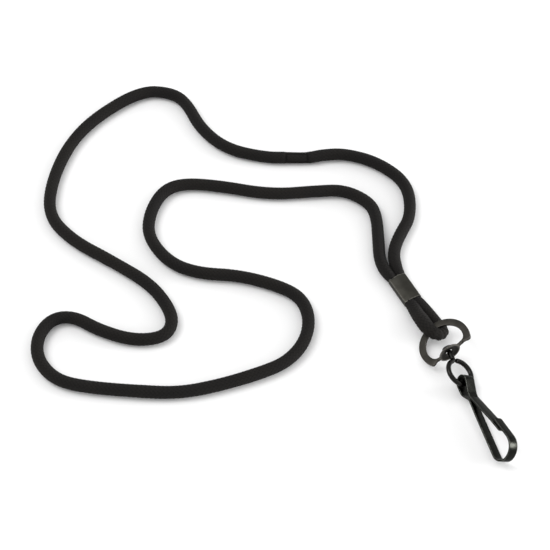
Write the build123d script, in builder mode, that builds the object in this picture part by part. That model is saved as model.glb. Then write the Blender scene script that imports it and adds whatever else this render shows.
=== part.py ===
from build123d import *
from math import atan2, cos, degrees, pi, radians, sin, sqrt, tan
import os

# A neck lanyard: one loop of round braided cord, closed by a flat metal crimp, whose
# short end loop, the bight, holds a swivelling D-frame, a ring and a spring hook.
# Millimetres. The lanyard lies on the plane Z = 0, and the metal fittings lie along Y,
# with the hook towards -Y. The origin is below the middle of the crimp, bight and metal
# fittings; the neck cord lies beyond them, towards +Y.

os.makedirs("parts", exist_ok=True)

# ---- driving dimensions -------------------------------------------------------

cord_diameter = 5.0
bight_diameter = 4.2  # the cord is pulled thinner where it goes round the D-frame

crimp_length = 12.4
crimp_width = 7.3
crimp_height = 4.5
crimp_corner = 1.7
crimp_wall = 0.5
crimp_x = 0.95
crimp_y = 39.5

frame_centre = (0.0, 8.2, 6.3)  # the centre of the round part
frame_pitch = 12.0  # the straight base is higher than the round end
frame_roll = 24.0  # the right side is higher than the left
frame_yaw = 3.0  # the right side is nearer to the hook
frame_radius = 10.35
frame_strip = 2.6
frame_thickness = 1.0
frame_base = 5.5  # from the centre to the straight base
neck_outer_x = 7.6  # a twisted neck runs from here ...
neck_inner_x = 4.2  # ... to here, where it joins the dished disc
neck_width = 1.9
neck_drop = 0.4  # its end lies this far below the disc's flat middle

disc_radius = 4.6
disc_flat_radius = 2.7
disc_x = -0.7  # from the middle line
disc_inset = 1.1  # from the base line
disc_pitch = -3.0  # the disc faces the hook and a little up
disc_hole_radius = 1.45
disc_thickness = 0.9
disc_depth = 1.0  # of the rim below the flat middle

wire_diameter = 1.9
ring_radius = 5.3  # to the middle of the wire
ring_distance = 9.5  # from the middle of the disc to the middle of the ring
ring_gap = 26.0  # degrees of the ring left open beside its shank
bend_start = 3.1  # where the shank begins to bend into the ring
head_radius = 2.1
head_height = 1.2
head_edge = 0.45
head_clearance = 0.6
eye_yaw = 3.5
eye_pitch = 11.5
eye_roll = 29.0

strip_thickness = 0.6
hook_width = 4.1
eye_width = 4.6
gate_width = 4.4
hook_origin = (-1.5, -7.0, 3.7)
hook_yaw = 10.0
hook_pitch = 3.0
hook_roll = 36.0
bow_centre = (34.2, 4.9)
bow_radius = 4.7  # to the middle of the strip
lip_angle = 13.5  # how far the bow turns past half a circle
lip_length = 10.6
waist_x = 9.6  # the gate is hinged here, where the strip's two runs come together
gate_pivot = (9.95, 1.5)
gate_bend = (20.5, 5.2)
gate_end = (28.7, 7.68)
eye_end = 8.0  # the strip narrows from here ...
leg_start = 11.0  # ... to here

# The middle line of the strip's eye, from the back leg round to the waist, with the
# radius at each corner between its ends.
eye_route = [
    (17.0, 0.3), (10.6, 0.5), (7.2, -1.65), (2.4, -1.75), (0.25, 0.05), (0.25, 2.15),
    (2.1, 3.25), (8.0, 1.5), (waist_x, 1.5),
]
eye_radii = [2.5, 3.0, 2.6, 1.9, 1.5, 1.9, 3.0]

# ---- the routes of the cord ---------------------------------------------------

# From the crimp's right strand once round the neck loop to its left strand. The cord
# lies flat, so its middle is half a diameter above Z = 0.
neck_route = [
    (3.5, 45.7), (3.5, 50.5), (7.6, 59.0), (22.2, 69.8), (29.3, 85.2), (24.2, 101.0),
    (12.9, 112.4), (-2.0, 118.3), (-16.3, 125.0), (-28.4, 136.6), (-33.1, 152.0),
    (-31.8, 168.2), (-35.3, 176.5), (-46.0, 183.4), (-67.8, 179.6), (-84.5, 171.8),
    (-99.8, 156.6), (-108.3, 140.0), (-105.7, 123.5), (-95.7, 105.3), (-87.1, 88.5),
    (-85.4, 74.5), (-87.8, 66.6), (-94.0, 63.3), (-104.5, 67.5), (-114.3, 78.3),
    (-120.0, 88.5), (-128.0, 91.8), (-136.5, 86.6), (-140.7, 76.8), (-138.5, 65.2),
    (-130.3, 56.8), (-112.9, 45.4), (-99.1, 37.6), (-83.7, 33.6), (-66.5, 31.3),
    (-56.1, 31.3), (-46.3, 35.6), (-39.3, 44.5), (-37.6, 54.5), (-41.9, 63.2),
    (-53.7, 75.8), (-67.9, 84.4), (-75.9, 95.0), (-77.7, 110.5), (-72.0, 121.5),
    (-62.0, 129.5), (-52.5, 128.8), (-39.9, 120.4), (-23.7, 106.6), (-6.5, 99.4),
    (4.3, 94.3), (10.0, 84.0), (9.4, 76.5), (4.7, 66.3), (0.3, 58.6), (-1.6, 51.0),
    (-1.6, 45.7),
]

# From the crimp's left side over the round end of the D-frame, then down through it and
# back below its round end to the crimp's right side.
bight_route = [
    (-0.3, 33.3, 2.25), (-0.3, 31.0, 2.25), (-2.1, 26.5, 4.2), (-2.9, 20.8, 7.1),
    (-2.5, 13.0, 6.8), (3.5, 13.0, 2.5), (4.0, 19.0, 2.1), (3.8, 25.5, 2.1),
    (2.2, 31.0, 2.25), (2.2, 33.3, 2.25),
]


def corner_radii(points):
    """The radius of each corner of a cord's route: as large as its two runs allow."""
    radii = []
    for before, corner, after in zip(points, points[1:], points[2:]):
        run_in = Vector(corner) - Vector(before)
        run_out = Vector(after) - Vector(corner)
        half_turn = radians(run_in.get_angle(run_out)) / 2
        radii.append(0.45 * min(run_in.length, run_out.length) / tan(half_turn))
    return radii


def turned_plane(origin, yaw, pitch, roll):
    """A plane whose X heads for the hook's end: yawed to the left, pitched down, and
    rolled so that its right side drops."""
    yaw, pitch, roll = radians(yaw), radians(pitch), radians(roll)
    heading = Vector(-sin(yaw) * cos(pitch), -cos(yaw) * cos(pitch), -sin(pitch))
    across = Vector(cos(yaw), -sin(yaw), 0)
    up = heading.cross(across)
    return Plane(origin, x_dir=heading, z_dir=up * cos(roll) + across * sin(roll))


def print_cord(name, diameter, length, volume, radii):
    print(name, "length", round(length, 1), "radii", [round(radius, 1) for radius in radii])
    section = pi * diameter**2 / 4
    print(name, "volume", round(volume), "section x length", round(section * length))


# ---- neck cord ----------------------------------------------------------------

neck_points = [(x, y, cord_diameter / 2) for x, y in neck_route]
neck_radii = corner_radii(neck_points)

with BuildPart() as neck_cord:
    with BuildLine() as neck_line:
        FilletPolyline(*neck_points, radius=neck_radii)
    neck_path = neck_line.wires()[0]
    with BuildSketch(Plane(neck_path @ 0, z_dir=neck_path % 0)):
        Circle(cord_diameter / 2)
    sweep(path=neck_path)

print_cord("neck_cord", cord_diameter, neck_path.length, neck_cord.part.volume, neck_radii)

# ---- cord bight ---------------------------------------------------------------

crimp_section = Plane.XZ.offset(-crimp_y - crimp_length / 2)
bight_radii = corner_radii(bight_route)
bight_middle = (Vector(bight_route[4]) + Vector(bight_route[5])) / 2

with BuildPart() as cord_bight:
    # The two strands, pressed into one oval inside the crimp.
    with BuildSketch(crimp_section):
        with Locations((crimp_x, crimp_height / 2)):
            RectangleRounded(
                crimp_width - 2 * crimp_wall,
                crimp_height - 2 * crimp_wall,
                crimp_corner - crimp_wall,
            )
    extrude(amount=crimp_length)
    # The upper half of the bight, then the lower.
    with BuildLine() as upper_line:
        FilletPolyline(*bight_route[:5], bight_middle, radius=bight_radii[:4])
    upper_path = upper_line.wires()[0]
    with BuildSketch(Plane(upper_path @ 0, z_dir=upper_path % 0)):
        Circle(bight_diameter / 2)
    sweep(path=upper_path)
    with BuildLine() as lower_line:
        FilletPolyline(bight_middle, *bight_route[5:], radius=bight_radii[4:])
    lower_path = lower_line.wires()[0]
    with BuildSketch(Plane(lower_path @ 0, z_dir=lower_path % 0)):
        Circle(bight_diameter / 2)
    sweep(path=lower_path)

bight_length = upper_path.length + lower_path.length
print_cord("cord_bight", bight_diameter, bight_length, cord_bight.part.volume, bight_radii)

# ---- crimp sleeve -------------------------------------------------------------

with BuildPart() as crimp_sleeve:
    with BuildSketch(crimp_section):
        with Locations((crimp_x, crimp_height / 2)):
            RectangleRounded(crimp_width, crimp_height, crimp_corner)
            RectangleRounded(
                crimp_width - 2 * crimp_wall,
                crimp_height - 2 * crimp_wall,
                crimp_corner - crimp_wall,
                mode=Mode.SUBTRACT,
            )
    extrude(amount=crimp_length)

# ---- swivel frame -------------------------------------------------------------

# Local X is across the lanyard, local Y towards the crimp, local Z up from the strip.
frame_plane = Plane(frame_centre).rotated((-frame_pitch, -frame_roll, -frame_yaw))
frame_inner_radius = frame_radius - frame_strip
arm_x = sqrt(frame_radius**2 - frame_base**2)
disc_y = -frame_base + disc_inset
half_disc = disc_thickness / 2
disc_rim = (disc_radius, half_disc - disc_depth)
disc_lip = (disc_radius - 0.7, half_disc - disc_depth - 0.3)
disc_normal = Vector(0, cos(radians(disc_pitch)), sin(radians(disc_pitch)))
disc_plane = Plane(
    frame_plane.from_local_coords((disc_x, disc_y, 0)), x_dir=(1, 0, 0), z_dir=disc_normal
)
# Along the base, within the disc.
disc_across = frame_plane.x_dir - disc_normal * frame_plane.x_dir.dot(disc_normal)

with BuildPart() as swivel_frame:
    # The round strip, cut square at the base.
    with BuildSketch(frame_plane.offset(-frame_thickness / 2)):
        Circle(frame_radius)
        Circle(frame_inner_radius, mode=Mode.SUBTRACT)
        with Locations((0, -frame_base - frame_radius)):
            Rectangle(2 * frame_radius, 2 * frame_radius, mode=Mode.SUBTRACT)
    extrude(amount=frame_thickness)
    # A foot on each arm, and a neck that twists from flat to upright.
    for side in (-1, 1):
        with BuildSketch(frame_plane.offset(-frame_thickness / 2)):
            with Locations((side * (neck_outer_x + arm_x) / 2, -frame_base + neck_width / 2)):
                Rectangle(arm_x - neck_outer_x, neck_width)
        extrude(amount=frame_thickness)
        neck_plane = Plane(
            frame_plane.from_local_coords((side * neck_outer_x, -frame_base + neck_width / 2, 0)),
            x_dir=frame_plane.y_dir,
            z_dir=frame_plane.x_dir * -side,
        )
        disc_end = Plane(
            disc_plane.origin + disc_across * side * neck_inner_x - disc_normal * neck_drop,
            x_dir=disc_normal,
            z_dir=disc_across * -side,
        )
        with BuildSketch(neck_plane):
            Rectangle(neck_width, frame_thickness)
        with BuildSketch(disc_end):
            Rectangle(disc_thickness, neck_width)
        loft()
    # The dished disc, hollow towards the hook.
    with BuildSketch(Plane(disc_plane.origin, x_dir=disc_plane.x_dir, z_dir=-disc_plane.y_dir)):
        with BuildLine():
            Line((disc_hole_radius, -half_disc), (disc_hole_radius, half_disc))
            Line((disc_hole_radius, half_disc), (disc_flat_radius, half_disc))
            TangentArc((disc_flat_radius, half_disc), disc_rim, tangent=(1, 0))
            Line(disc_rim, disc_lip)
            TangentArc((disc_flat_radius - 0.6, -half_disc), disc_lip, tangent=(1, 0))
            Line((disc_flat_radius - 0.6, -half_disc), (disc_hole_radius, -half_disc))
        make_face()
    revolve(axis=Axis(disc_plane.origin, disc_plane.z_dir))

# ---- swivel eye ---------------------------------------------------------------

# Local X is the shank's axis, from the disc towards the hook, and local Y is across.
eye_plane = turned_plane(disc_plane.origin, eye_yaw, eye_pitch, eye_roll)
shank_axis = Axis(eye_plane.origin, eye_plane.x_dir)
head_base = -half_disc - head_clearance

# The shank bends into the ring through an arc that touches both.
bend_reach = ring_distance - bend_start
bend_radius = (bend_reach**2 - ring_radius**2) / (2 * ring_radius)
bend_angle = degrees(atan2(bend_radius, bend_reach))

with BuildPart() as swivel_eye:
    with BuildLine(eye_plane) as eye_line:
        Line((head_base, 0), (bend_start, 0))
        CenterArc((bend_start, -bend_radius), bend_radius, 90, bend_angle - 90)
        CenterArc((ring_distance, 0), ring_radius, 180 + bend_angle, 360 - ring_gap - bend_angle)
    eye_path = eye_line.wires()[0]
    with BuildSketch(Plane(eye_path @ 0, z_dir=eye_path % 0)):
        Circle(wire_diameter / 2)
    sweep(path=eye_path)
    # The domed head that keeps the shank in the disc.
    with BuildSketch(eye_plane):
        with BuildLine():
            Line((head_base, 0), (head_base, head_radius))
            Line((head_base, head_radius), (head_base - head_edge, head_radius))
            TangentArc(
                (head_base - head_height, 0), (head_base - head_edge, head_radius), tangent=(0, 1)
            )
            Line((head_base - head_height, 0), (head_base, 0))
        make_face()
    revolve(axis=shank_axis)

# ---- hook ---------------------------------------------------------------------

# One strip of spring steel. Local X runs from its eye to its bow, local Y from its back
# leg to its gate, and local Z across the strip.
hook_plan = turned_plane(hook_origin, hook_yaw, hook_pitch, hook_roll)
hook_plane = Plane(hook_plan.origin, x_dir=hook_plan.x_dir, z_dir=-hook_plan.y_dir)
hook_end = bow_centre[0] + bow_radius + strip_thickness

with BuildPart() as hook:
    with BuildSketch(hook_plane.offset(-eye_width / 2)):
        with BuildLine():
            bow = CenterArc(bow_centre, bow_radius, -90, 180 + lip_angle)
            PolarLine(bow @ 1, lip_length, direction=bow % 1)
            Line(bow @ 0, eye_route[0])
            FilletPolyline(*eye_route, radius=eye_radii)
        trace(line_width=strip_thickness)
    extrude(amount=eye_width)
    # The leg, bow and lip are narrower than the eye.
    with BuildSketch(hook_plan.offset(-hook_end)):
        with BuildLine():
            Polyline(
                (-strip_thickness, 0), (-strip_thickness, eye_width / 2), (eye_end, eye_width / 2),
                (leg_start, hook_width / 2), (hook_end, hook_width / 2), (hook_end, 0),
            )
            mirror(about=Plane.XZ)
        make_face()
    extrude(amount=2 * hook_end, mode=Mode.INTERSECT)

# ---- hook gate ----------------------------------------------------------------

# The strip's free end. It springs about the waist, and its tip rests below the lip.
with BuildPart() as hook_gate:
    with BuildSketch(hook_plane.offset(-gate_width / 2)):
        with BuildLine():
            gate_run = Line(gate_pivot, gate_bend)
            TangentArc(gate_bend, gate_end, tangent=gate_run % 1)
        trace(line_width=strip_thickness)
        with Locations(gate_pivot):
            Circle(strip_thickness / 2)
    extrude(amount=gate_width)

# ---- export -------------------------------------------------------------------

pieces = {
    "neck_cord": neck_cord,
    "cord_bight": cord_bight,
    "crimp_sleeve": crimp_sleeve,
    "swivel_frame": swivel_frame,
    "swivel_eye": swivel_eye,
    "hook": hook,
    "hook_gate": hook_gate,
}
for name, piece in pieces.items():
    piece.part.label = name
    export_step(piece.part, f"parts/{name}.step")
    box = piece.part.bounding_box()
    print(name, "solids", len(piece.part.solids()), "from", box.min, "to", box.max)

fittings = Compound([piece.part for name, piece in pieces.items() if name != "neck_cord"])
print("fittings", fittings.bounding_box())
bar_point = frame_plane.from_local_coords((0, frame_radius - frame_strip / 2, 0))
ring_bottom = eye_plane.from_local_coords((ring_distance + ring_radius, 0, 0))
print("frame hinge", bar_point, frame_plane.x_dir)
print("eye hinge", eye_plane.origin, eye_plane.x_dir)
print("hook hinge", ring_bottom, hook_plane.z_dir)
print("gate hinge", hook_plane.from_local_coords((*gate_pivot, 0)), -hook_plane.z_dir)
print("bow", hook_plane.from_local_coords((*bow_centre, 0)), hook_plane.z_dir)
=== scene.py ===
import math

import bmesh
import bpy
import numpy as np
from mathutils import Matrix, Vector


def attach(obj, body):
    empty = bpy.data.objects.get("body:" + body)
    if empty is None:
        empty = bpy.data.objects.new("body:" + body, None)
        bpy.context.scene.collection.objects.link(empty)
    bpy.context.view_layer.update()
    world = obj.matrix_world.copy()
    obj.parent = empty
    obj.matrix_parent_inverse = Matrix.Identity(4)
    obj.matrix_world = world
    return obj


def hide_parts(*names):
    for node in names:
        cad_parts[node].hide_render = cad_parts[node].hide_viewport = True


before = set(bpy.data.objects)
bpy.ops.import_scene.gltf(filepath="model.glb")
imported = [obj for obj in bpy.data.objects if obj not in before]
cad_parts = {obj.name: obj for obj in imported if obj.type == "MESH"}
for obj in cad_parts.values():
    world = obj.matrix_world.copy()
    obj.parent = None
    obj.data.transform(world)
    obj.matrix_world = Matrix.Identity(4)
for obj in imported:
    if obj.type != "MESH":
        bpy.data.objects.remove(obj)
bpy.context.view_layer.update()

# A neck lanyard that lies on a pale floor: one loop of braided cord, a metal crimp, a
# swivelling D-frame, a ring and a spring hook. Lengths are written in millimetres, as in
# the CAD source, and MM turns them into the frame's metres.

MM = 0.001

# ---- camera -------------------------------------------------------------------

VIEW_TARGET = Vector((-40.27, 71.36, 0.0)) * MM
VIEW_OFFSET = Vector((-186.9, -351.4, 547.8)) * MM

camera = bpy.data.objects.new("camera", bpy.data.cameras.new("camera"))
bpy.context.scene.collection.objects.link(camera)
camera.location = VIEW_TARGET + VIEW_OFFSET
camera.rotation_mode = "QUATERNION"
camera.rotation_quaternion = (-VIEW_OFFSET).to_track_quat("-Z", "Y")
camera.data.lens = 110.8
camera.data.sensor_width = 36.0
camera.data.clip_start = 0.01
camera.data.clip_end = 20.0
bpy.context.scene.camera = camera

# ---- mesh helpers -------------------------------------------------------------

SHARP_EDGE = 40  # degrees, for all the metal


def add_object(name, points, faces, sharp=None, uvs=None, wear_and_light=None):
    """A mesh object in the CAD frame from points in millimetres. sharp is the angle past
    which an edge is shaded as sharp, uvs one pair for each corner of each face, and the
    last argument one number for each point: above 0 where an edge is brightened, as rubbed
    wear and painted highlight, and -1 for painted shade in a hollow."""
    mesh = bpy.data.meshes.new(name)
    mesh.from_pydata([tuple(p) for p in np.asarray(points, float) * MM], [], faces)
    if wear_and_light is not None:
        layer = mesh.attributes.new("wear_and_light", "FLOAT", "POINT")
        layer.data.foreach_set("value", np.asarray(wear_and_light, np.float32))
    if uvs is not None:
        layer = mesh.uv_layers.new(name="braid")
        layer.data.foreach_set("uv", np.asarray(uvs, np.float32).ravel())
    mesh.validate()
    mesh.polygons.foreach_set("use_smooth", [True] * len(mesh.polygons))
    work = bmesh.new()
    work.from_mesh(mesh)
    bmesh.ops.recalc_face_normals(work, faces=work.faces)
    work.to_mesh(mesh)
    work.free()
    if sharp is not None:
        mesh.set_sharp_from_angle(angle=math.radians(sharp))
    mesh.update()
    thing = bpy.data.objects.new(name, mesh)
    bpy.context.scene.collection.objects.link(thing)
    return thing


def loft_faces(rows, columns, closed_rows=False):
    """Faces between rows of points that each close round. The first and the last row are
    capped or, with closed_rows, joined to each other."""
    faces = []
    for i in range(rows if closed_rows else rows - 1):
        a, b = i * columns, (i + 1) % rows * columns
        for j in range(columns):
            k = (j + 1) % columns
            faces.append((a + j, a + k, b + k, b + j))
    if not closed_rows:
        faces.append(tuple(range(columns)))
        faces.append(tuple(range((rows - 1) * columns, rows * columns)))
    return faces


def join_shells(shells):
    """One list of points, faces and marks of wear and painted light from several closed shells."""
    points, faces, wear_and_light = [], [], []
    for shell_points, shell_faces, shell_wear_and_light in shells:
        first = len(points)
        points += [tuple(p) for p in shell_points]
        faces += [tuple(first + v for v in face) for face in shell_faces]
        wear_and_light += list(shell_wear_and_light)
    return points, faces, wear_and_light


def unit(vector):
    vector = np.asarray(vector, float)
    return vector / np.linalg.norm(vector)


def smooth_step(low, high, value):
    t = np.clip((np.asarray(value, float) - low) / (high - low), 0.0, 1.0)
    return t * t * (3 - 2 * t)


def line_length(points):
    return np.linalg.norm(np.diff(points, axis=0), axis=1).sum()


def line_tangents(points):
    tangents = np.gradient(points, axis=0)
    return tangents / np.linalg.norm(tangents, axis=1)[:, None]


def spaced(points, step):
    """The same line with points an equal distance apart, about step."""
    points = np.asarray(points, float)
    along = np.concatenate([[0], np.cumsum(np.linalg.norm(np.diff(points, axis=0), axis=1))])
    count = max(2, int(round(along[-1] / step)) + 1)
    want = np.linspace(0, along[-1], count)
    return np.stack([np.interp(want, along, points[:, k]) for k in range(3)], axis=1)


def sides_and_ups(points):
    """Unit sides and ups along a line, with each up as near to +Z as it can be."""
    tangents = line_tangents(points)
    sides = np.cross(tangents, (0.0, 0.0, 1.0))
    sides /= np.linalg.norm(sides, axis=1)[:, None]
    return sides, np.cross(sides, tangents)


def arc(centre, start, end, steps):
    """The points of a flat arc whose ends are given from its centre."""
    turn = math.atan2(start[0] * end[1] - start[1] * end[0], start @ end)
    points = []
    for i in range(steps + 1):
        c, s = math.cos(turn * i / steps), math.sin(turn * i / steps)
        points.append(centre + (start[0] * c - start[1] * s, start[0] * s + start[1] * c))
    return points


def corner_arc(before, corner, after, radius, steps):
    """The points of the arc that rounds the corner of a flat line."""
    to_before, to_after = unit(before - corner), unit(after - corner)
    half = math.acos(np.clip(to_before @ to_after, -1, 1)) / 2
    reach = radius / math.tan(half)
    centre = corner + unit(to_before + to_after) * radius / math.sin(half)
    start, end = corner + to_before * reach, corner + to_after * reach
    return arc(centre, start - centre, end - centre, steps)


def spline_line(name, control_points):
    """The points of the smooth NURBS line that has these control points."""
    curve = bpy.data.curves.new(name, "CURVE")
    curve.dimensions = "3D"
    curve.resolution_u = 24
    spline = curve.splines.new("NURBS")
    spline.points.add(len(control_points) - 1)
    for point, place in zip(spline.points, control_points):
        point.co = (*(Vector(place) * MM), 1.0)
    spline.order_u = 3
    spline.use_endpoint_u = True
    thing = bpy.data.objects.new(name, curve)
    mesh = bpy.data.meshes.new_from_object(thing)
    line = np.array([v.co for v in mesh.vertices]) / MM
    bpy.data.objects.remove(thing)
    bpy.data.meshes.remove(mesh)
    bpy.data.curves.remove(curve)
    return line


# ---- braided cord -------------------------------------------------------------

CORD_DIAMETER = 5.0
BRAID_CELLS = 11  # pairs of strands round the cord
CELL_POINTS = 4  # mesh points to a cell, both ways
CELL_LENGTH = 1.68
BRAID_RELIEF = 0.13
BRAID_LEVEL = 0.6  # the height in the braid's relief that lies on the cord's surface


def braid_height(around, along):
    """From 0 to 1: how high a one-over-one braid stands at these cell coordinates."""
    a, b = around + along, around - along
    fraction_a, fraction_b = a - np.floor(a), b - np.floor(b)
    first_on_top = (np.floor(a) + np.floor(b)) % 2 < 0.5
    across = np.where(first_on_top, fraction_b, fraction_a)
    lengthways = np.where(first_on_top, fraction_a, fraction_b)
    return np.sin(np.pi * across) ** 0.7 * (0.45 + 0.55 * np.sin(np.pi * lengthways))


def cord_tube(name, line, half_width, half_height, relief, folds):
    """A braided tube along a line. half_width and half_height give its section's half
    sizes and relief how far the braid stands out, all from the distance along it, and
    folds gives added height and shade from that distance and the angle round it."""
    columns = BRAID_CELLS * CELL_POINTS
    line = spaced(line, CELL_LENGTH / CELL_POINTS)
    rows = len(line)
    sides, ups = sides_and_ups(line)
    along = np.linspace(0, line_length(line), rows)
    angle = np.arange(columns) / columns * 2 * np.pi
    row_index, column_index = np.meshgrid(np.arange(rows), np.arange(columns), indexing="ij")
    height = braid_height(column_index / CELL_POINTS, row_index / CELL_POINTS)
    fold, shade = folds(along[:, None], angle[None, :])
    lift = relief(along)[:, None] * (height - BRAID_LEVEL) + fold
    wide = half_width(along)[:, None] + lift
    high = half_height(along)[:, None] + lift
    points = (
        line[:, None, :]
        + sides[:, None, :] * (wide * np.cos(angle))[..., None]
        + ups[:, None, :] * (high * np.sin(angle))[..., None]
    )
    faces = loft_faces(rows, columns)
    uvs = []
    step = 1 / CELL_POINTS
    for i in range(rows - 1):
        for j in range(columns):
            u, v = j / CELL_POINTS, i / CELL_POINTS
            uvs += [(u, v), (u + step, v), (u + step, v + step), (u, v + step)]
    uvs += [(0.0, 0.0)] * (2 * columns)  # the two end caps
    return add_object(name, points.reshape(-1, 3), faces, uvs=uvs, wear_and_light=shade.ravel())


# From the crimp's right strand once round the neck loop to its left strand, close to the
# CAD source's route, but with the two strands pressed together where they enter the crimp.
LIE = CORD_DIAMETER / 2  # the height of the cord's middle as it lies
CRIMP_TOP_Y = 45.7
RIGHT_MOUTH_X = 2.75
LEFT_MOUTH_X = -0.75
NECK_ROUTE = [
    (RIGHT_MOUTH_X, CRIMP_TOP_Y), (3.1, 50.0), (6.0, 57.2), (12.1, 63.2), (22.3, 70.2),
    (29.4, 85.6), (24.0, 101.2), (14.4, 111.6), (5.5, 115.5), (-0.1, 116.6),
    (-8.5, 121.3), (-16.1, 125.5), (-28.3, 137.0), (-33.0, 152.4), (-31.7, 168.6),
    (-35.2, 176.9), (-45.9, 183.7), (-67.7, 179.8), (-84.3, 171.9), (-99.6, 156.7),
    (-108.8, 140.3), (-105.6, 123.9), (-95.3, 105.8), (-86.8, 89.0), (-85.3, 74.9),
    (-87.7, 67.0), (-93.9, 63.7), (-104.4, 67.9), (-114.2, 78.7), (-119.9, 88.9),
    (-127.9, 92.2), (-136.5, 87.0), (-140.7, 77.2), (-138.4, 65.8), (-130.1, 57.6),
    (-112.7, 46.0), (-99.0, 37.9), (-83.6, 33.8), (-66.4, 31.3), (-55.9, 31.3),
    (-46.0, 35.9), (-38.9, 44.8), (-37.2, 54.9), (-41.6, 63.5), (-53.5, 76.1),
    (-67.8, 84.8), (-75.9, 95.3), (-77.6, 110.9), (-71.7, 121.5), (-61.8, 129.5),
    (-52.4, 129.0), (-39.8, 120.6), (-23.6, 106.8), (-6.4, 99.7), (4.5, 94.7),
    (10.4, 84.4), (9.5, 76.6), (3.8, 65.2), (-0.5, 57.0), (-1.6, 49.5),
    (LEFT_MOUTH_X, CRIMP_TOP_Y),
]
NECK_HALF_WIDTH = LIE - 0.03
NECK_HALF_HEIGHT = LIE - 0.07
MOUTH_HALF_WIDTH = 1.75
MOUTH_HALF_HEIGHT = 1.85

neck_line = spline_line("neck_line", [(x, y, LIE) for x, y in NECK_ROUTE])
neck_length = line_length(neck_line)


def from_mouth(along):
    return np.minimum(along, neck_length - along)


def neck_half_width(along):
    """It swells quickly out of the crimp, then slowly, and waves a little all the way."""
    near = from_mouth(along)
    swell = smooth_step(0.0, 0.9, near) * 0.45 + smooth_step(0.5, 7.0, near) * 0.55
    wave = 0.03 * np.sin(along / 7.1) + 0.025 * np.sin(along / 3.3 + 1.0)
    return MOUTH_HALF_WIDTH + (NECK_HALF_WIDTH - MOUTH_HALF_WIDTH) * swell + wave * swell


def neck_half_height(along):
    swell = smooth_step(0.0, 2.0, from_mouth(along))
    return MOUTH_HALF_HEIGHT + (NECK_HALF_HEIGHT - MOUTH_HALF_HEIGHT) * swell


# The cord is joined to itself where it is flattened and its top has a pressed rectangle.
JOIN_MIDDLE = 99.4
JOIN_HALF_LENGTH = 4.4
JOIN_SIDES = (math.radians(90), math.radians(180))  # round the cord, from its side
JOIN_PRESSED = 0.12
GROOVE_DEPTH = 0.34
GROOVE_END_REACH = 0.35
GROOVE_SIDE_REACH = 0.12  # in radians round the cord


def join_share(along):
    """1 on the join, 0 away from it."""
    away = abs(along - JOIN_MIDDLE)
    return 1 - smooth_step(JOIN_HALF_LENGTH - 0.2, JOIN_HALF_LENGTH + 0.9, away)


def neck_relief(along):
    return BRAID_RELIEF * (1 - 0.75 * join_share(along))


def neck_folds(along, angle):
    """The join: pressed flat a little, with a groove round the rectangle on its top, and painted
    shade in that groove.
    """
    share = join_share(along)
    to_end = (abs(along - JOIN_MIDDLE) - JOIN_HALF_LENGTH) / GROOVE_END_REACH
    to_side = np.minimum(abs(angle - JOIN_SIDES[0]), abs(angle - JOIN_SIDES[1]))
    to_side = to_side / GROOVE_SIDE_REACH
    on_top = (angle > JOIN_SIDES[0]) & (angle < JOIN_SIDES[1])
    groove = np.maximum(np.exp(-(to_end**2)) * on_top, share * np.exp(-(to_side**2)))
    return -JOIN_PRESSED * share - GROOVE_DEPTH * groove, -groove


neck_cord = cord_tube(
    "braided_neck_cord", neck_line, neck_half_width, neck_half_height, neck_relief, neck_folds
)

# ---- bight --------------------------------------------------------------------

CRIMP_LENGTH = 12.4
CRIMP_BOTTOM_Y = CRIMP_TOP_Y - CRIMP_LENGTH
BIGHT_ROUTE = [
    (-0.3, 34.2, 2.25), (-0.35, 31.3, 2.45), (-1.5, 26.5, 4.2), (-2.4, 20.8, 6.6),
    (-2.6, 16.5, 6.9), (-0.9, 13.6, 6.0), (1.0, 13.3, 4.6), (3.6, 14.5, 3.2),
    (3.9, 18.0, 2.15), (3.6, 24.0, 2.15), (2.8, 30.5, 2.4), (2.2, 34.2, 2.25),
]
BIGHT_HALF_WIDTH = 2.15
BIGHT_MOUTH_HALF_HEIGHT = 1.75
CREASE_DEPTH = 0.2
CREASE_SPACING = 1.9
CREASE_REACH = 5.5  # to either side of the bight's middle

bight_line = spline_line("bight_line", BIGHT_ROUTE)
bight_length = line_length(bight_line)


def bight_half_width(along):
    """Flattened and widest over the D-frame's round end, and pressed in at the crimp."""
    to_end = bight_length - along
    leaving = 0.4 * smooth_step(0.4, 2.2, along) + 0.15 * smooth_step(2.5, 9.0, along)
    over = 0.25 * smooth_step(8.0, 13.0, along) - 0.6 * smooth_step(16.0, 24.0, along)
    pressed = 0.2 * (1 - smooth_step(0.4, 3.0, to_end))
    return BIGHT_HALF_WIDTH + leaving + over - pressed


def bight_half_height(along):
    near = np.minimum(along, bight_length - along)
    return BIGHT_MOUTH_HALF_HEIGHT + 0.3 * smooth_step(0.4, 3.0, near)


def bight_folds(along, angle):
    """Creases where the cord doubles back round the D-frame."""
    bend = np.exp(-(((along - bight_length / 2) / CREASE_REACH) ** 2))
    turn = along * 2 * np.pi / CREASE_SPACING + 0.8 * np.sin(angle)
    fold = CREASE_DEPTH * bend * np.sin(turn)
    return fold, np.zeros_like(fold)


def bight_relief(along):
    return np.full_like(along, BRAID_RELIEF)


bight = cord_tube(
    "braided_bight", bight_line, bight_half_width, bight_half_height, bight_relief, bight_folds
)

# ---- crimp --------------------------------------------------------------------

CRIMP_MIDDLE_X = 1.0
CRIMP_WIDTH = 7.5
CRIMP_WALL = 0.5
CORNER_STEPS = 6
PAINTED_HIGHLIGHT_CORNER = slice(-5, -2)  # the middle of the last corner of the crimp's outline, its tight upper left edge, which carries a painted highlight


def rounded_outline(corners):
    """A closed outline from (x, z, corner radius), with an arc at every corner."""
    places = [np.array(corner[:2]) for corner in corners]
    outline = []
    for k, (_, _, radius) in enumerate(corners):
        after = places[(k + 1) % len(places)]
        outline += corner_arc(places[k - 1], places[k], after, radius, CORNER_STEPS)
    return np.array(outline)


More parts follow.
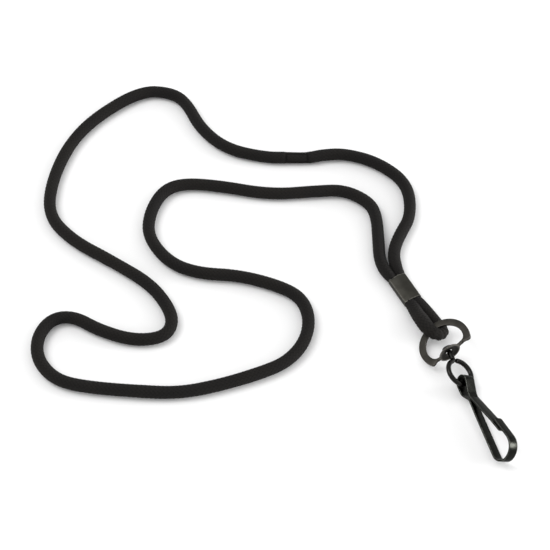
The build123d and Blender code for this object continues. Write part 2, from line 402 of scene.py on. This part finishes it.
def crimp_outline(inset, pinch):
    """The crimp's section: a tight upper left edge, a domed top and softer right edges."""
    left = CRIMP_MIDDLE_X - CRIMP_WIDTH / 2 + inset
    right = CRIMP_MIDDLE_X + CRIMP_WIDTH / 2 - inset
    low = inset + pinch
    tight = max(0.5 - inset, 0.15)
    soft = max(1.4 - inset, 0.6)
    return rounded_outline([
        (left, low, soft), (CRIMP_MIDDLE_X, low - 0.02, 6.0), (right, low, soft),
        (right, 4.0 - low, soft), (1.3, 4.5 - low, 8.0), (left, 3.65 - low, tight),
    ])


def crimp_shell():
    """The outer and the inner wall, a little pinched and ragged at both ends."""
    rows = 32
    outer_rows, inner_rows = [], []
    for i in range(rows):
        t = i / (rows - 1)
        pinch = 0.05 * (1 - smooth_step(0.0, 0.12, t) * smooth_step(0.0, 0.12, 1 - t))
        for inset, store in ((0.0, outer_rows), (CRIMP_WALL, inner_rows)):
            outline = crimp_outline(inset, pinch)
            ragged = 0.14 * np.sin(outline[:, 0] * 2.9 + 1.0) * np.sin(outline[:, 0] * 1.3)
            end = (1 - smooth_step(0.0, 0.1, t)) - (1 - smooth_step(0.0, 0.1, 1 - t))
            y = CRIMP_BOTTOM_Y + CRIMP_LENGTH * t + ragged * end
            store.append(np.stack([outline[:, 0], y, outline[:, 1]], axis=1))
    columns = len(outer_rows[0])
    points = np.concatenate(outer_rows + inner_rows[::-1])
    wear_and_light = np.zeros((2 * rows, columns))
    # The end rims are brighter, and a painted highlight runs along the tight upper left edge.
    wear_and_light[0] = wear_and_light[rows - 1] = 1.0
    wear_and_light[:, PAINTED_HIGHLIGHT_CORNER] = (0.4, 0.9, 0.4)
    faces = loft_faces(2 * rows, columns, closed_rows=True)
    return points, faces, wear_and_light.ravel()


crimp_points, crimp_faces, crimp_wear_and_light = crimp_shell()
crimp = add_object("crimp_band", crimp_points, crimp_faces, sharp=SHARP_EDGE, wear_and_light=crimp_wear_and_light)

# ---- D-frame ------------------------------------------------------------------


def turned_axes(pitch, roll, yaw):
    """The axes of a plane turned about Z by -yaw, then Y by -roll, then X by -pitch."""
    p, r, y = (math.radians(-angle) for angle in (pitch, roll, yaw))
    about_x = np.array([[1, 0, 0], [0, math.cos(p), -math.sin(p)], [0, math.sin(p), math.cos(p)]])
    about_y = np.array([[math.cos(r), 0, math.sin(r)], [0, 1, 0], [-math.sin(r), 0, math.cos(r)]])
    about_z = np.array([[math.cos(y), -math.sin(y), 0], [math.sin(y), math.cos(y), 0], [0, 0, 1]])
    return (about_x @ about_y @ about_z).T


def heading_axes(yaw, pitch, roll):
    """Axes whose first heads for the hook's end, as in the CAD source."""
    y, p, r = (math.radians(angle) for angle in (yaw, pitch, roll))
    heading = np.array([-math.sin(y) * math.cos(p), -math.cos(y) * math.cos(p), -math.sin(p)])
    across = np.array([math.cos(y), -math.sin(y), 0.0])
    up = np.cross(heading, across)
    normal = up * math.cos(r) + across * math.sin(r)
    return heading, np.cross(normal, heading), normal


FRAME_CENTRE = np.array([0.0, 8.2, 6.3])
FRAME_X, FRAME_Y, FRAME_Z = turned_axes(12.0, 24.0, 3.0)
FRAME_OUTER = 10.5
FRAME_STRIP = 2.7
FRAME_HALF_THICKNESS = 0.5
FRAME_BASE = -5.5
# Pairs of outer and inner points where the strip's end rounds off into a foot.
FRAME_FOOT = [
    ((9.65, -4.2), (7.1, -2.9)), ((9.35, -4.9), (7.0, -3.1)),
    ((8.95, -5.4), (6.9, -3.25)), ((8.45, -5.6), (6.8, -3.35)),
    ((7.8, -5.55), (6.65, -3.5)), ((7.0, -5.15), (6.4, -3.7)),
]
NECK_WIDTH = 1.8
NECK_END_X = 3.6
NECK_END_DROP = 0.35
NECK_WAIST = 0.3  # the share of its width that a neck loses halfway
DISC_INSET = 1.1
DISC_RADIUS = 4.6
DISC_HOLE = 1.45
DISC_FLAT = 2.7
DISC_HALF = 0.45
DISC_CENTRE = FRAME_CENTRE - FRAME_X * 0.7 + FRAME_Y * (FRAME_BASE + DISC_INSET)
DISC_PITCH = math.radians(-3.0)
DISC_NORMAL = np.array([0.0, math.cos(DISC_PITCH), math.sin(DISC_PITCH)])
DISC_ACROSS = unit(FRAME_X - DISC_NORMAL * (FRAME_X @ DISC_NORMAL))
DISC_UP = np.cross(DISC_ACROSS, DISC_NORMAL)


def strip_section(half_width, half_thickness, edge, steps=4):
    """A rounded rectangle round (0, 0), and how bright each of its points is marked: its rounded
    edges carry rubbed wear and a painted highlight.
    """
    points, wear_and_light = [], []
    corners = [(1, 1), (-1, 1), (-1, -1), (1, -1)]
    for quarter, (sx, sz) in enumerate(corners):
        for i in range(steps + 1):
            a = (quarter + i / steps) * math.pi / 2
            points.append((
                sx * (half_width - edge) + edge * math.cos(a),
                sz * (half_thickness - edge) + edge * math.sin(a),
            ))
            wear_and_light.append(math.sin(math.pi * i / steps))
    return np.array(points), np.array(wear_and_light)


def strip_shell(centres, widths, thicknesses, edge=0.12):
    """A strip through the centres. widths and thicknesses are its half sizes as vectors."""
    points, wear_and_light = [], []
    for centre, width, thickness in zip(centres, widths, thicknesses):
        half_width, half_thickness = np.linalg.norm(width), np.linalg.norm(thickness)
        section, section_wear_and_light = strip_section(half_width, half_thickness, edge)
        points.append(centre + section[:, :1] * unit(width) + section[:, 1:] * unit(thickness))
        wear_and_light.append(section_wear_and_light)
    columns = len(points[0])
    return np.concatenate(points), loft_faces(len(points), columns), np.concatenate(wear_and_light)


def revolved_shell(origin, axis, side, profile, turns):
    """A closed profile of (radius, height, mark of wear and painted light) turned about an axis."""
    other = np.cross(axis, side)
    points, wear_and_light = [], []
    for k in range(turns):
        a = 2 * math.pi * k / turns
        out = side * math.cos(a) + other * math.sin(a)
        for radius, height, worn_and_lit in profile:
            points.append(origin + out * radius + axis * height)
            wear_and_light.append(worn_and_lit)
    return np.array(points), loft_faces(turns, len(profile), closed_rows=True), np.array(wear_and_light)


def frame_arm(side):
    """Half of the round strip, its rounded foot, and the neck that twists to the disc."""
    centres, widths, thicknesses = [], [], []

    def place(x, y):
        return FRAME_CENTRE + FRAME_X * side * x + FRAME_Y * y

    # Pairs of outer and inner points: the arc, then the foot.
    frame_inner = FRAME_OUTER - FRAME_STRIP
    pairs = []
    for a in np.linspace(90.0, -20.0, 56):
        c, s = math.cos(math.radians(a)), math.sin(math.radians(a))
        pairs.append(((FRAME_OUTER * c, FRAME_OUTER * s), (frame_inner * c, frame_inner * s)))
    for outer, inner in pairs + FRAME_FOOT:
        outer, inner = place(*outer), place(*inner)
        centres.append((outer + inner) / 2)
        widths.append((outer - inner) / 2)
        thicknesses.append(FRAME_Z * FRAME_HALF_THICKNESS)
    # The neck: from the last pair to the disc, turning from flat to upright.
    start_centre, start_width = centres[-1], widths[-1]
    end_centre = DISC_CENTRE + DISC_ACROSS * side * NECK_END_X - DISC_NORMAL * NECK_END_DROP
    flat_width, upright_width = unit(start_width), -DISC_UP
    flat_depth, upright_depth = FRAME_Z, -DISC_NORMAL
    for t in np.linspace(0.0, 1.0, 15)[1:]:
        turn = smooth_step(0.0, 0.55, t)
        centres.append(start_centre * (1 - t) + end_centre * t)
        half_width = np.linalg.norm(start_width) * (1 - t) + NECK_WIDTH / 2 * t
        half_width *= 1 - NECK_WAIST * math.sin(math.pi * t)
        width = unit(flat_width * (1 - turn) + upright_width * turn)
        depth = flat_depth * (1 - turn) + upright_depth * turn
        depth = unit(depth - width * (depth @ width))
        widths.append(width * half_width)
        thicknesses.append(depth * FRAME_HALF_THICKNESS)
    return strip_shell(centres, widths, thicknesses)


# Painted shade inside the dish's hole and hollow, and a painted highlight on its rim.
disc_profile = [
    (DISC_HOLE, -DISC_HALF + 0.12, -1.0), (DISC_HOLE, DISC_HALF - 0.12, -1.0),
    (DISC_HOLE + 0.12, DISC_HALF, 0.0), (DISC_FLAT, DISC_HALF, 0.0), (3.3, 0.36, 0.0),
    (3.9, 0.1, 0.0), (4.35, -0.25, 0.0), (DISC_RADIUS, -0.52, 1.0),
    (DISC_RADIUS - 0.1, -0.76, 1.0), (DISC_RADIUS - 0.55, -0.92, 1.0),
    (DISC_RADIUS - 0.8, -0.82, 0.0), (3.3, -0.62, -1.0), (2.6, -0.48, -1.0),
    (2.1, -DISC_HALF, -1.0), (DISC_HOLE + 0.12, -DISC_HALF, -1.0),
]
frame_points, frame_faces, frame_wear_and_light = join_shells([
    frame_arm(-1),
    frame_arm(1),
    revolved_shell(DISC_CENTRE, DISC_NORMAL, DISC_ACROSS, disc_profile, turns=72),
])
d_frame = add_object("swivel_d_frame", frame_points, frame_faces, sharp=SHARP_EDGE, wear_and_light=frame_wear_and_light)

# ---- swivel eye ---------------------------------------------------------------

EYE_X, EYE_Y, EYE_Z = heading_axes(3.5, 11.5, 29.0)
WIRE_RADIUS = 0.95
WIRE_STEP = 0.35  # between the rings of points along it
RING_RADIUS = 5.3
RING_DISTANCE = 9.5
RING_GAP = 13.0
BEND_START = 3.1
HEAD_BASE = -1.05
HEAD_RADIUS = 2.1
HEAD_HEIGHT = 1.2
HEAD_SIDE = 0.45  # the height of its straight side, under the dome
HEAD_CORE = 0.02  # the profile stops this short of the axis
CUT_BEVEL = 0.16
BEND_REACH = RING_DISTANCE - BEND_START
BEND_RADIUS = (BEND_REACH**2 - RING_RADIUS**2) / (2 * RING_RADIUS)
BEND_ANGLE = math.degrees(math.atan2(BEND_RADIUS, BEND_REACH))


def eye_wire():
    """The shank, the bend off its line and the ring, up to its bevelled, bright cut end."""
    flat = [(HEAD_BASE - 0.2, 0.0), (0.0, 0.0), (1.5, 0.0)]
    for a in np.linspace(90.0, BEND_ANGLE, 12):
        a = math.radians(a)
        flat.append((BEND_START + BEND_RADIUS * math.cos(a), BEND_RADIUS * (math.sin(a) - 1)))
    for a in np.linspace(180 + BEND_ANGLE, 540 - RING_GAP, 90)[1:]:
        a = math.radians(a)
        flat.append((RING_DISTANCE + RING_RADIUS * math.cos(a), RING_RADIUS * math.sin(a)))
    flat = spaced([(x, y, 0.0) for x, y in flat], WIRE_STEP)
    columns = 24
    points, wear_and_light = [], []
    for i, (place, tangent) in enumerate(zip(flat, line_tangents(flat))):
        cut = i == len(flat) - 1
        radius = WIRE_RADIUS - CUT_BEVEL if cut else WIRE_RADIUS
        centre = DISC_CENTRE + EYE_X * place[0] + EYE_Y * place[1]
        side = -EYE_X * tangent[1] + EYE_Y * tangent[0]
        for k in range(columns):
            a = 2 * math.pi * k / columns
            points.append(centre + (side * math.cos(a) + EYE_Z * math.sin(a)) * radius)
            wear_and_light.append(1.0 if cut else 0.0)
    return np.array(points), loft_faces(len(flat), columns), np.array(wear_and_light)


head_profile = [
    (HEAD_CORE, 0.0, 0.0), (HEAD_RADIUS - 0.1, 0.0, 0.0), (HEAD_RADIUS, -0.1, 0.0),
    (HEAD_RADIUS, -HEAD_SIDE, 0.0),
]
for a in np.linspace(0.0, 90.0, 9)[1:-1]:
    rise = (HEAD_HEIGHT - HEAD_SIDE) * math.sin(math.radians(a))
    head_profile.append((HEAD_RADIUS * math.cos(math.radians(a)), -HEAD_SIDE - rise, 0.0))
head_profile.append((HEAD_CORE, -HEAD_HEIGHT, 0.0))
eye_points, eye_faces, eye_wear = join_shells([
    eye_wire(),
    revolved_shell(DISC_CENTRE + EYE_X * HEAD_BASE, EYE_X, EYE_Y, head_profile, turns=40),
])
ring_eye = add_object("swivel_ring_eye", eye_points, eye_faces, sharp=SHARP_EDGE, wear_and_light=eye_wear)

# ---- hook and gate ------------------------------------------------------------

# In the hook's plane x runs along it, from its eye to its bow, and y towards its gate.
HOOK_ORIGIN = np.array([-1.5, -7.0, 3.7])
HOOK_X, HOOK_ACROSS, HOOK_Y = heading_axes(10.0, 3.0, 36.0)
STRIP_HALF = 0.3
STRIP_STEP = 0.3  # between the sections along it
# From the lip's free end round the egg-shaped bow, along the back leg and round the eye
# to the waist, with the radius at each corner between.
HOOK_ROUTE = [
    (23.2, 7.35), (37.5, 10.8), (40.0, 0.25), (17.0, 0.3), (10.6, 0.5), (7.2, -1.65),
    (2.4, -1.75), (0.25, 0.05), (0.25, 2.15), (2.1, 3.25), (8.0, 1.5), (9.6, 1.5),
]
HOOK_RADII = [5.6, 3.9, 30.0, 2.5, 3.0, 2.6, 1.9, 1.5, 1.9, 3.0]
GATE_PIVOT = np.array([9.95, 1.5])
GATE_BEND = np.array([20.5, 5.2])
GATE_END = np.array([28.7, 7.68])
EYE_HALF_WIDTH = 2.4
LEG_HALF_WIDTH = 2.15
GATE_HALF_WIDTH = 2.5
SHOULDER = (8.0, 11.0)  # where the strip narrows from the eye to the leg
END_CORNER = 0.5
FILLET_STEPS = 24
GATE_STEPS = 12


def filleted(points, radii):
    """A polyline with an arc of each radius at its corners."""
    points = [np.array(p, float) for p in points]
    line = [points[0]]
    for before, corner, after, radius in zip(points, points[1:], points[2:], radii):
        line += corner_arc(before, corner, after, radius, FILLET_STEPS)
    return line + [points[-1]]


def plane_strip(flat, half_width_at, rounded_first):
    """A strip of the hook's steel along a line in its plane. half_width_at gives its half
    width from x, and its first or its last end has two rounded corners."""
    flat = spaced([(x, y, 0.0) for x, y in flat], STRIP_STEP)
    along = np.linspace(0, line_length(flat), len(flat))
    to_rounded = along if rounded_first else along[-1] - along
    centres, widths, thicknesses = [], [], []
    for place, tangent, distance in zip(flat, line_tangents(flat), to_rounded):
        short = max(END_CORNER - distance, 0.0)
        cut = END_CORNER - math.sqrt(END_CORNER**2 - short**2)
        centres.append(HOOK_ORIGIN + HOOK_X * place[0] + HOOK_Y * place[1])
        widths.append(-HOOK_ACROSS * (half_width_at(place[0]) - cut))
        thicknesses.append((-HOOK_X * tangent[1] + HOOK_Y * tangent[0]) * STRIP_HALF)
    return strip_shell(centres, widths, thicknesses, edge=0.14)


def hook_half_width(x):
    return EYE_HALF_WIDTH + (LEG_HALF_WIDTH - EYE_HALF_WIDTH) * smooth_step(*SHOULDER, x)


hook_points, hook_faces, hook_wear_and_light = plane_strip(
    filleted(HOOK_ROUTE, HOOK_RADII), hook_half_width, rounded_first=True
)
spring_hook = add_object("spring_hook", hook_points, hook_faces, sharp=SHARP_EDGE, wear_and_light=hook_wear_and_light)

# The gate runs straight, then through one arc that is tangent to it.
gate_run = unit(GATE_BEND - GATE_PIVOT)
gate_chord = GATE_END - GATE_BEND
gate_across = np.array([-gate_run[1], gate_run[0]])
gate_radius = (gate_chord @ gate_chord) / (2 * (gate_chord @ gate_across))
gate_centre = GATE_BEND + gate_across * gate_radius
gate_line = [GATE_PIVOT - gate_run * STRIP_HALF, GATE_PIVOT]
gate_line += arc(gate_centre, GATE_BEND - gate_centre, GATE_END - gate_centre, GATE_STEPS)
gate_points, gate_faces, gate_wear_and_light = plane_strip(
    gate_line, lambda x: GATE_HALF_WIDTH, rounded_first=False
)
hook_gate = add_object("spring_gate", gate_points, gate_faces, sharp=SHARP_EDGE, wear_and_light=gate_wear_and_light)

# ---- materials ----------------------------------------------------------------


WEAR_AND_HIGHLIGHT_AMOUNT = 0.7  # how far a fully marked edge goes towards its bright colour, from rubbed wear and painted highlight


class Nodes:
    """A material's node tree with short ways to add and link nodes."""

    def __init__(self, name):
        self.material = bpy.data.materials.new(name)
        self.material.use_nodes = True
        self.tree = self.material.node_tree
        self.shader = self.tree.nodes["Principled BSDF"]

    def add(self, kind, settings=None, **inputs):
        node = self.tree.nodes.new(kind)
        for key, value in (settings or {}).items():
            setattr(node, key, value)
        for key, value in inputs.items():
            self.put(node, key, value)
        return node

    def put(self, node, key, value):
        """Sets or links the input that has this name or number."""
        if isinstance(value, bpy.types.NodeSocket):
            self.tree.links.new(value, node.inputs[key])
        else:
            node.inputs[key].default_value = value

    def math(self, operation, a, b=0.0):
        node = self.add("ShaderNodeMath", {"operation": operation})
        self.put(node, 0, a)
        self.put(node, 1, b)
        return node.outputs[0]

    def noise(self, scale, detail=2.0, vector=None):
        if vector is None:
            vector = self.add("ShaderNodeTexCoord").outputs["Object"]
        node = self.add("ShaderNodeTexNoise", Scale=scale, Detail=detail, Vector=vector)
        return node.outputs["Fac"]

    def ramp(self, value, low, high, to_low, to_high):
        node = self.add("ShaderNodeMapRange", {"clamp": True})
        for index, number in enumerate((value, low, high, to_low, to_high)):
            self.put(node, index, number)
        return node.outputs["Result"]

    def mix(self, factor, first, second):
        """A mix of two colours, which are inputs 6 and 7 of Blender's Mix node."""
        node = self.add("ShaderNodeMix", {"data_type": "RGBA"})
        self.put(node, 0, factor)
        self.put(node, 6, first)
        self.put(node, 7, second)
        return node.outputs[2]

    def bump(self, height, strength, distance):
        node = self.add("ShaderNodeBump", Strength=strength, Distance=distance, Height=height)
        self.tree.links.new(node.outputs["Normal"], self.shader.inputs["Normal"])


def braid_material():
    """Matt black yarn, whose fine strands follow the same one-over-one cells as the mesh."""
    n = Nodes("black_braid")
    uv = n.add("ShaderNodeUVMap", {"uv_map": "braid"}).outputs["UV"]
    split = n.add("ShaderNodeSeparateXYZ", Vector=uv)
    around, along = split.outputs["X"], split.outputs["Y"]
    a = n.math("ADD", around, along)
    b = n.math("SUBTRACT", around, along)
    parity = n.math("ADD", n.math("FLOOR", a), n.math("FLOOR", b))
    odd = n.math("FLOORED_MODULO", parity, 2.0)
    even = n.math("SUBTRACT", 1.0, odd)

    def yarns(value):
        return n.math("ABSOLUTE", n.math("SINE", n.math("MULTIPLY", value, math.pi * 4)))

    def crown(value):
        return n.math("ABSOLUTE", n.math("SINE", n.math("MULTIPLY", value, math.pi)))

    yarn = n.math("ADD", n.math("MULTIPLY", yarns(b), even), n.math("MULTIPLY", yarns(a), odd))
    top = n.math("ADD", n.math("MULTIPLY", crown(b), even), n.math("MULTIPLY", crown(a), odd))
    fibre = n.noise(9000.0, 3.0)
    height = n.math("ADD", n.math("MULTIPLY", yarn, 0.35), n.math("MULTIPLY", top, 0.8))
    height = n.math("ADD", height, n.math("MULTIPLY", fibre, 0.35))
    n.bump(height, 0.55, 0.00018)
    patch = n.ramp(n.noise(60.0, 2.0), 0.35, 0.65, 0.0, 1.0)
    base = n.mix(patch, (0.0100, 0.0092, 0.0090, 1), (0.0125, 0.0112, 0.0098, 1))
    # Painted shade: the colour darkens where the yarn dips between its crowns.
    groove = n.ramp(top, 0.0, 0.75, 0.0, 1.0)
    colour = n.mix(groove, (0.0045, 0.0042, 0.0040, 1), base)
    colour = n.mix(n.ramp(fibre, 0.55, 0.75, 0.0, 0.35), colour, (0.020, 0.0185, 0.0175, 1))
    # Painted shade: the join's groove goes near black where the mesh marks it -1.
    shade = n.add("ShaderNodeAttribute", {"attribute_name": "wear_and_light"}).outputs["Fac"]
    colour = n.mix(n.ramp(shade, -1.0, 0.0, 0.75, 0.0), colour, (0.0015, 0.0015, 0.0014, 1))
    n.put(n.shader, "Base Color", colour)
    n.put(n.shader, "Roughness", n.ramp(yarn, 0.0, 1.0, 0.92, 0.78))
    n.put(n.shader, "Specular IOR Level", 0.12)
    n.put(n.shader, "Sheen Weight", 0.02)
    n.put(n.shader, "Sheen Roughness", 0.5)
    return n.material


def metal_material(name, dark, light, worn_and_lit, rough, edge_tint, grain=(1.0, 1.0, 1.0)):
    """Blackened steel: a cloudy tint from dark to light, fine drawn grain, edges brightened by
    rubbed wear and a painted highlight, and painted shade in hollows.
    rough is its least and most roughness, and edge_tint how bright it is at a grazing look."""
    n = Nodes(name)
    place = n.add("ShaderNodeTexCoord").outputs["Object"]
    cloud = n.noise(260.0, 4.0, place)
    colour = n.mix(n.ramp(cloud, 0.32, 0.68, 0.0, 1.0), dark, light)
    edge = n.add("ShaderNodeAttribute", {"attribute_name": "wear_and_light"}).outputs["Fac"]
    # Edges brightened in patches: partly rubbed wear, partly a painted highlight.
    edge_patches = n.ramp(n.noise(1500.0, 3.0, place), 0.38, 0.62, 0.35, 1.0)
    rubbed_and_lit = n.math("MULTIPLY", n.math("MULTIPLY", edge, edge_patches), WEAR_AND_HIGHLIGHT_AMOUNT)
    rubbed_and_lit = n.math("MAXIMUM", rubbed_and_lit, 0.0)
    # Painted shade: hollows marked -1 go towards near black.
    painted_shade = n.ramp(edge, -1.0, 0.0, 0.5, 0.0)
    colour = n.mix(painted_shade, colour, (0.006, 0.006, 0.006, 1))
    n.put(n.shader, "Base Color", n.mix(rubbed_and_lit, colour, worn_and_lit))
    n.put(n.shader, "Metallic", 1.0)
    n.put(n.shader, "Specular Tint", (edge_tint, edge_tint, edge_tint, 1))
    stretched = n.add("ShaderNodeMapping", Vector=place, Scale=grain).outputs["Vector"]
    drawn = n.noise(3800.0, 3.0, stretched)
    pits = n.noise(2600.0, 2.0, place)
    low, high = rough
    n.put(n.shader, "Roughness", n.ramp(n.math("ADD", cloud, drawn), 0.75, 1.25, low, high))
    height = n.math("ADD", n.math("MULTIPLY", drawn, 0.6), n.math("MULTIPLY", pits, 0.6))
    n.bump(height, 0.25, 0.00006)
    return n.material


braid = braid_material()
crimp_metal = metal_material(
    "crimp_gunmetal", (0.041, 0.0395, 0.034, 1), (0.054, 0.052, 0.045, 1),
    (0.30, 0.29, 0.26, 1), (0.28, 0.44), edge_tint=0.65, grain=(1.0, 0.12, 1.0),
)
frame_metal = metal_material(
    "frame_gunmetal", (0.036, 0.034, 0.030, 1), (0.051, 0.048, 0.042, 1),
    (0.24, 0.23, 0.21, 1), (0.30, 0.46), edge_tint=0.7,
)
hook_metal = metal_material(
    "black_oxide", (0.0105, 0.0108, 0.0095, 1), (0.0175, 0.0180, 0.0160, 1),
    (0.28, 0.29, 0.26, 1), (0.18, 0.32), edge_tint=0.58,
)
ring_metal = metal_material(
    "black_nickel", (0.014, 0.0138, 0.0130, 1), (0.026, 0.0255, 0.024, 1),
    (0.24, 0.24, 0.23, 1), (0.13, 0.24), edge_tint=0.9,
)

# ---- how the pieces ride and what they stand for ------------------------------

SET = [
    (neck_cord, braid, "cord", "neck_cord", "cord"),
    (bight, braid, "cord", "cord_bight", "cord"),
    (crimp, crimp_metal, "cord", "crimp_sleeve", "crimp_metal"),
    (d_frame, frame_metal, "frame", "swivel_frame", "frame_metal"),
    (ring_eye, ring_metal, "eye", "swivel_eye", "hook_metal"),
    (spring_hook, hook_metal, "hook", "hook", "hook_metal"),
    (hook_gate, hook_metal, "gate", "hook_gate", "hook_metal"),
]
for piece, material, body, node, slot in SET:
    piece.data.materials.append(material)
    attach(piece, body)
    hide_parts(node)

# ---- floor, light -------------------------------------------------------------

FLOOR_HALF = 3000
FLOOR_Z = -0.2
floor_corners = [
    (x * FLOOR_HALF, y * FLOOR_HALF, FLOOR_Z) for x, y in ((-1, -1), (1, -1), (1, 1), (-1, 1))
]
floor = add_object("floor", floor_corners, [(0, 1, 2, 3)])
floor_paint = Nodes("pale_floor")
floor_paint.put(floor_paint.shader, "Roughness", 0.85)
floor_paint.put(floor_paint.shader, "Specular IOR Level", 0.1)
floor_tone = floor_paint.mix(
    floor_paint.noise(4.0), (0.90, 0.90, 0.90, 1), (0.93, 0.93, 0.93, 1)
)
floor_paint.put(floor_paint.shader, "Base Color", floor_tone)
floor.data.materials.append(floor_paint.material)

world = bpy.data.worlds.new("studio")
world.use_nodes = True
world.node_tree.nodes["Background"].inputs["Color"].default_value = (1.0, 1.0, 1.0, 1.0)
world.node_tree.nodes["Background"].inputs["Strength"].default_value = 0.88
bpy.context.scene.world = world
bpy.context.scene.view_settings.view_transform = "Standard"


def softbox(name, place, aim, size, power):
    """A rectangular area light, in metres and watts, that faces the point aim."""
    light = bpy.data.lights.new(name, "AREA")
    light.shape = "RECTANGLE"
    light.size, light.size_y = size
    light.energy = power
    lamp = bpy.data.objects.new(name, light)
    bpy.context.scene.collection.objects.link(lamp)
    place, aim = Vector(place), Vector(aim)
    lamp.location = place
    lamp.rotation_mode = "QUATERNION"
    lamp.rotation_quaternion = (aim - place).to_track_quat("-Z", "Y")


softbox("key", (-0.45, 0.35, 0.85), (0.0, 0.02, 0.0), (0.5, 0.5), 3.2)
softbox("fill", (0.75, -0.25, 0.45), (0.0, 0.0, 0.0), (0.25, 0.5), 1.0)
softbox("low_side", (0.90, -0.46, 0.13), (0.0, -0.035, 0.005), (0.38, 0.26), 11.0)
